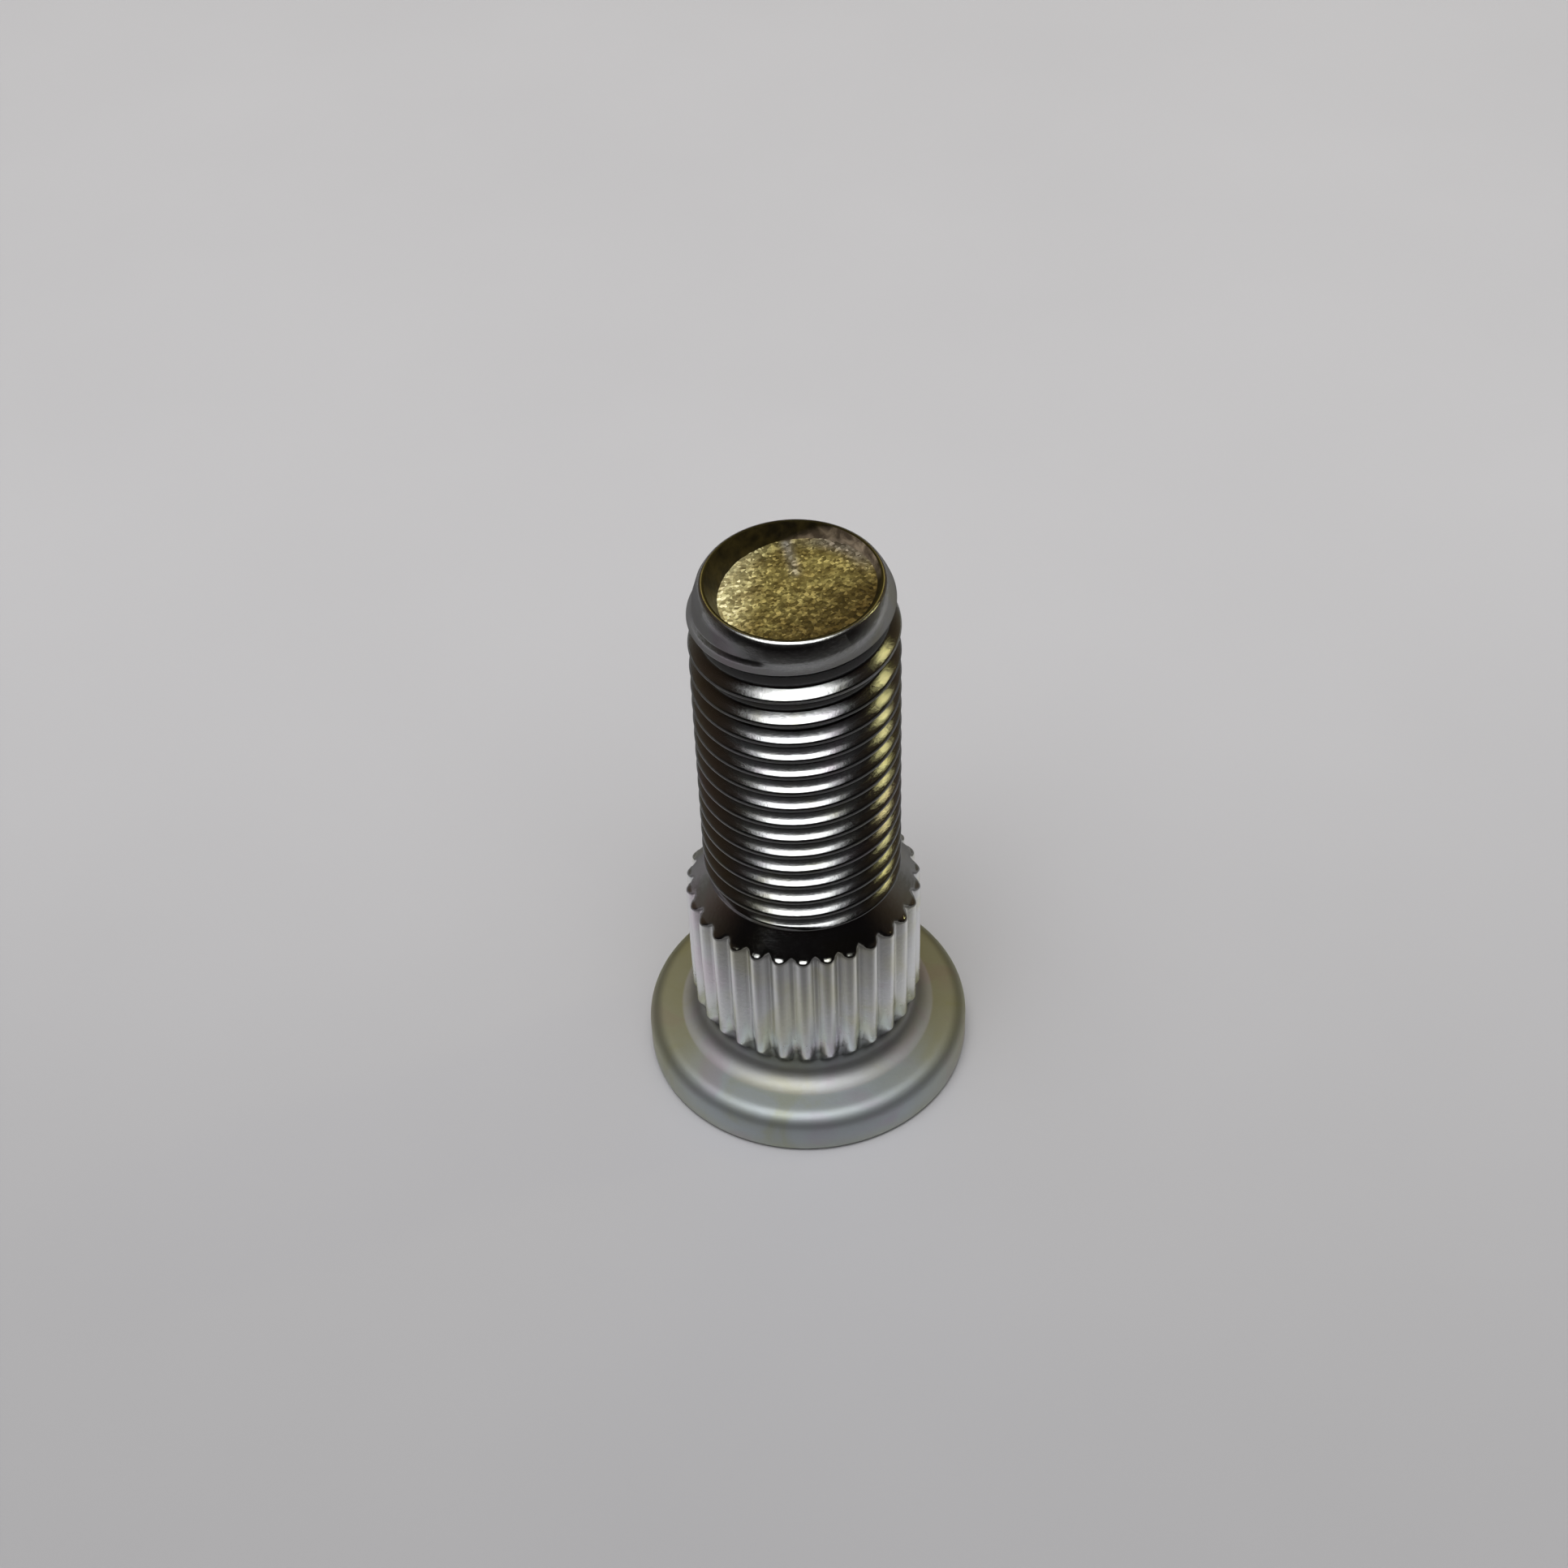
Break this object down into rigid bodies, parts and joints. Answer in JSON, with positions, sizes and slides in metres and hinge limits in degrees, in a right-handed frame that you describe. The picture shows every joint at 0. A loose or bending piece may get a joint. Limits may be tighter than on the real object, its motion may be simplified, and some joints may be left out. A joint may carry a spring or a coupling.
{
  "type": "wheel hub bolt",
  "caption": "Wheel hub bolt: round flat head, splined land that presses into a hub flange, and a fine-threaded shank with a rounded lead and a cupped end, in plated steel.",
  "frame": {"origin": "middle of the head's underside, on the surface that the bolt stands on", "axes": "+Z along the shank from the head to the threaded end; X and Y across the head"},
  "size_m": [0.02, 0.02, 0.037],
  "materials": {
    "plated_steel": "bright zinc plate with a thin yellow passivation, bare golden grain on the sheared end"
  },
  "bodies": {
    "root": {"hub_bolt": "plated_steel"}
  },
  "joints": []
}
